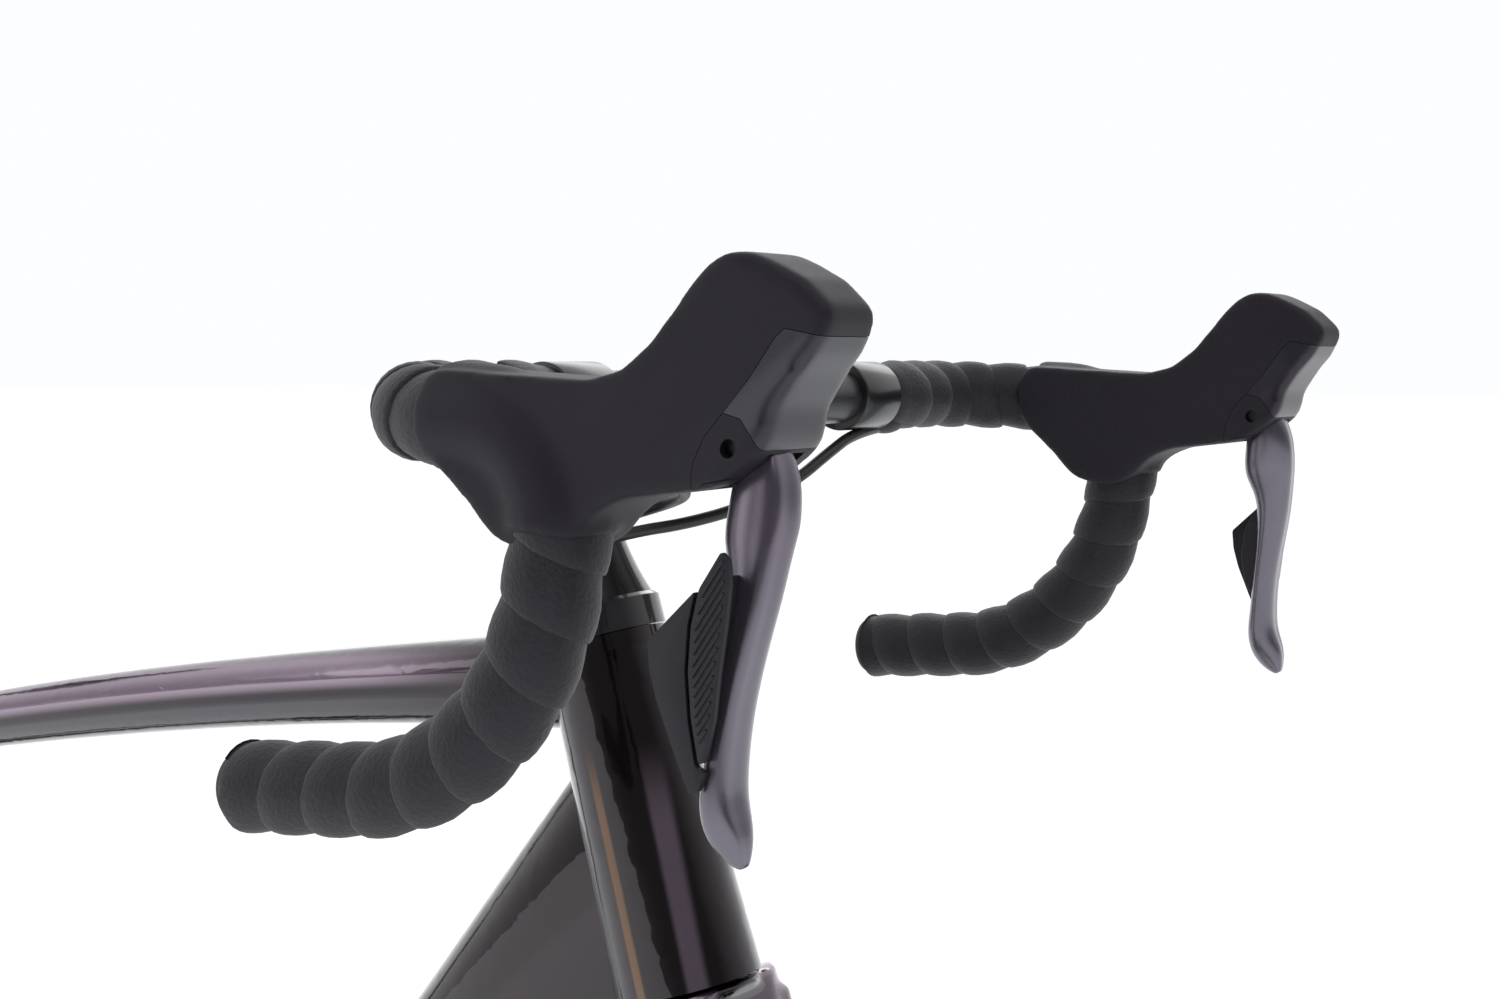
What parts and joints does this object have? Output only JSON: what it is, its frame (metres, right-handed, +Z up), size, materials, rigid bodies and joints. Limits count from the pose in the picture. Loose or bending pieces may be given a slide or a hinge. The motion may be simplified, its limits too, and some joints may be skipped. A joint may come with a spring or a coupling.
{
  "type": "road bicycle",
  "caption": "Road bicycle with a drop bar, disc brakes, deep rims and electronic shifting, with working steering, wheels, cranks, levers, paddles and derailleurs.",
  "frame": {"origin": "on the ground in the mid-plane, half way between the two ends of the tyres", "axes": "+X forward, +Y to the rider's left, +Z up"},
  "size_m": [1.668, 0.464, 0.968],
  "materials": {
    "bar_end_plugs": "moulded",
    "bar_tape_left": "fine woven texture",
    "bar_tape_right": "fine woven texture",
    "brake_hoses": "smooth",
    "brake_lever_left": "satin purple grey",
    "brake_lever_right": "satin purple grey",
    "cassette": "plated",
    "chain": "plated",
    "chainrings": "grey satin",
    "chainstays": "gloss paint over carbon composite",
    "crank_left": "grey satin",
    "crank_right": "grey satin",
    "fork": "gloss paint over carbon composite",
    "frame_bearings": "steel cartridges",
    "front_caliper": "black anodised",
    "front_derailleur_body": "grey satin",
    "front_derailleur_cage": "satin",
    "front_hub": "black anodised",
    "front_paddle_left": "moulded",
    "front_paddle_right": "moulded",
    "front_rim": "satin carbon composite",
    "front_rotor": "brushed",
    "front_spokes": "black",
    "front_thru_axle": "black anodised",
    "front_tyre": "fine tread",
    "guide_pulley": "moulded",
    "handlebar": "gloss black",
    "headset_spacers": "satin black",
    "lever_brackets": "glass-filled composite",
    "lever_covers": "satin purple grey",
    "lever_hoods": "matte moulded rubber",
    "main_frame": "gloss paint over carbon composite",
    "pedal_left": "composite",
    "pedal_right": "composite",
    "rear_caliper": "black anodised",
    "rear_derailleur_base": "grey satin",
    "rear_derailleur_cage": "black",
    "rear_derailleur_inner_link": "grey satin",
    "rear_derailleur_knuckle": "grey satin",
    "rear_derailleur_outer_link": "grey satin",
    "rear_hub": "black anodised",
    "rear_paddle_left": "moulded",
    "rear_paddle_right": "moulded",
    "rear_rim": "satin carbon composite",
    "rear_rotor": "brushed",
    "rear_spokes": "black",
    "rear_thru_axle": "black anodised",
    "rear_tyre": "fine tread",
    "saddle_clamp": "black anodised",
    "saddle_cover": "synthetic leather over foam",
    "saddle_rails": "satin",
    "saddle_shell": "moulded",
    "seat_clamp": "black anodised",
    "seatpost": "satin carbon composite",
    "seatstays": "gloss paint over carbon composite",
    "stem": "satin black",
    "stem_bolts": "black oxide",
    "stem_faceplate": "satin black",
    "tension_pulley": "moulded",
    "top_cap": "satin black"
  },
  "bodies": {
    "frame": {"main_frame": "main_frame", "chainstays": "chainstays", "seatstays": "seatstays", "frame_bearings": "frame_bearings", "seat_clamp": "seat_clamp", "seatpost": "seatpost", "saddle_clamp": "saddle_clamp", "saddle_rails": "saddle_rails", "saddle_shell": "saddle_shell", "saddle_cover": "saddle_cover", "rear_caliper": "rear_caliper", "front_derailleur_body": "front_derailleur_body", "rear_derailleur_base": "rear_derailleur_base", "rear_thru_axle": "rear_thru_axle", "chain": "chain"},
    "steering": {"fork": "fork", "headset_spacers": "headset_spacers", "stem": "stem", "stem_faceplate": "stem_faceplate", "stem_bolts": "stem_bolts", "top_cap": "top_cap", "handlebar": "handlebar", "bar_tape_left": "bar_tape_left", "bar_tape_right": "bar_tape_right", "bar_end_plugs": "bar_end_plugs", "lever_brackets": "lever_brackets", "lever_hoods": "lever_hoods", "lever_covers": "lever_covers", "brake_hoses": "brake_hoses", "front_caliper": "front_caliper", "front_thru_axle": "front_thru_axle"},
    "front_wheel": {"front_tyre": "front_tyre", "front_rim": "front_rim", "front_spokes": "front_spokes", "front_hub": "front_hub", "front_rotor": "front_rotor"},
    "rear_wheel": {"rear_tyre": "rear_tyre", "rear_rim": "rear_rim", "rear_spokes": "rear_spokes", "rear_hub": "rear_hub", "rear_rotor": "rear_rotor"},
    "cassette": {"cassette": "cassette"},
    "crankset": {"crank_right": "crank_right", "crank_left": "crank_left", "chainrings": "chainrings"},
    "pedal_right": {"pedal_right": "pedal_right"},
    "pedal_left": {"pedal_left": "pedal_left"},
    "brake_lever_left": {"brake_lever_left": "brake_lever_left"},
    "brake_lever_right": {"brake_lever_right": "brake_lever_right"},
    "front_paddle_left": {"front_paddle_left": "front_paddle_left"},
    "front_paddle_right": {"front_paddle_right": "front_paddle_right"},
    "rear_paddle_left": {"rear_paddle_left": "rear_paddle_left"},
    "rear_paddle_right": {"rear_paddle_right": "rear_paddle_right"},
    "front_derailleur_cage": {"front_derailleur_cage": "front_derailleur_cage"},
    "rear_derailleur_outer_link": {"rear_derailleur_outer_link": "rear_derailleur_outer_link"},
    "rear_derailleur_inner_link": {"rear_derailleur_inner_link": "rear_derailleur_inner_link"},
    "rear_derailleur_knuckle": {"rear_derailleur_knuckle": "rear_derailleur_knuckle"},
    "rear_derailleur_cage": {"rear_derailleur_cage": "rear_derailleur_cage"},
    "guide_pulley": {"guide_pulley": "guide_pulley"},
    "tension_pulley": {"tension_pulley": "tension_pulley"}
  },
  "joints": [
    {"name": "steer", "type": "hinge", "parent": "frame", "child": "steering", "pos_m": [0.34507, 0, 0.67889], "axis": [-0.2924, 0, 0.9563], "range_deg": [-60, 60]},
    {"name": "front_wheel_spin", "type": "hinge", "parent": "steering", "child": "front_wheel", "pos_m": [0.495, 0, 0.339], "axis": [0, 1, 0], "continuous": true},
    {"name": "rear_wheel_spin", "type": "hinge", "parent": "frame", "child": "rear_wheel", "pos_m": [-0.495, 0, 0.339], "axis": [0, 1, 0], "continuous": true},
    {"name": "crank_spin", "type": "hinge", "parent": "frame", "child": "crankset", "pos_m": [-0.08832, 0, 0.267], "axis": [0, 1, 0], "continuous": true, "deforming": ["chain"]},
    {"name": "cassette_spin", "type": "hinge", "parent": "frame", "child": "cassette", "pos_m": [-0.495, 0, 0.339], "axis": [0, 1, 0], "continuous": true},
    {"name": "pedal_right_spin", "type": "hinge", "parent": "crankset", "child": "pedal_right", "pos_m": [0.08418, -0.108, 0.267], "axis": [0, 1, 0], "continuous": true},
    {"name": "pedal_left_spin", "type": "hinge", "parent": "crankset", "child": "pedal_left", "pos_m": [-0.26082, 0.108, 0.267], "axis": [0, 1, 0], "continuous": true},
    {"name": "brake_left", "type": "hinge", "parent": "steering", "child": "brake_lever_left", "pos_m": [0.51489, 0.206, 0.91362], "axis": [0, 1, 0], "range_deg": [0, 16], "stiffness_Nm_per_rad": 0.8},
    {"name": "front_paddle_left_press", "type": "hinge", "parent": "brake_lever_left", "child": "front_paddle_left", "pos_m": [0.51419, 0.2292, 0.86252], "axis": [0, 0, 1], "range_deg": [0, 4], "stiffness_Nm_per_rad": 0.05},
    {"name": "rear_paddle_left_press", "type": "hinge", "parent": "brake_lever_left", "child": "rear_paddle_left", "pos_m": [0.50369, 0.2292, 0.85252], "axis": [0, 0, 1], "range_deg": [0, 4], "stiffness_Nm_per_rad": 0.05},
    {"name": "brake_right", "type": "hinge", "parent": "steering", "child": "brake_lever_right", "pos_m": [0.51489, -0.206, 0.91362], "axis": [0, 1, 0], "range_deg": [0, 16], "stiffness_Nm_per_rad": 0.8},
    {"name": "front_paddle_right_press", "type": "hinge", "parent": "brake_lever_right", "child": "front_paddle_right", "pos_m": [0.51419, -0.2292, 0.86252], "axis": [0, 0, -1], "range_deg": [0, 4], "stiffness_Nm_per_rad": 0.05},
    {"name": "rear_paddle_right_press", "type": "hinge", "parent": "brake_lever_right", "child": "rear_paddle_right", "pos_m": [0.50369, -0.2292, 0.85252], "axis": [0, 0, -1], "range_deg": [0, 4], "stiffness_Nm_per_rad": 0.05},
    {"name": "front_shift", "type": "hinge", "parent": "frame", "child": "front_derailleur_cage", "pos_m": [-0.12522, -0.045, 0.432], "axis": [1, 0, 0], "range_deg": [0, 7.5], "deforming": ["chain"]},
    {"name": "rear_shift", "type": "hinge", "parent": "frame", "child": "rear_derailleur_outer_link", "pos_m": [-0.465, -0.09379, 0.2835], "axis": [0, 0.5, 0.866], "range_deg": [-45, 36], "deforming": ["chain"]},
    {"name": "rear_shift_inner", "type": "hinge", "parent": "frame", "child": "rear_derailleur_inner_link", "pos_m": [-0.465, -0.07821, 0.2745], "axis": [0, 0.5, 0.866], "range_deg": [-45, 36]},
    {"name": "rear_shift_level", "type": "hinge", "parent": "rear_derailleur_outer_link", "child": "rear_derailleur_knuckle", "pos_m": [-0.501, -0.09379, 0.2835], "axis": [0, 0.5, 0.866], "range_deg": [-36, 45]},
    {"name": "cage_swing", "type": "hinge", "parent": "rear_derailleur_knuckle", "child": "rear_derailleur_cage", "pos_m": [-0.487, -0.06, 0.261], "axis": [0, 1, 0], "range_deg": [-20, 35], "stiffness_Nm_per_rad": 1.2, "deforming": ["chain"]},
    {"name": "guide_pulley_spin", "type": "hinge", "parent": "rear_derailleur_cage", "child": "guide_pulley", "pos_m": [-0.487, -0.0485, 0.261], "axis": [0, 1, 0], "continuous": true},
    {"name": "tension_pulley_spin", "type": "hinge", "parent": "rear_derailleur_cage", "child": "tension_pulley", "pos_m": [-0.45593, -0.0485, 0.21202], "axis": [0, 1, 0], "continuous": true}
  ],
  "couplings": [
    {"joint": "cassette_spin", "follows": "crank_spin", "ratio": 3.25},
    {"joint": "guide_pulley_spin", "follows": "crank_spin", "ratio": -4.7273},
    {"joint": "tension_pulley_spin", "follows": "crank_spin", "ratio": 4.7273},
    {"joint": "rear_shift_inner", "follows": "rear_shift", "ratio": 1},
    {"joint": "rear_shift_level", "follows": "rear_shift", "ratio": -1}
  ]
}
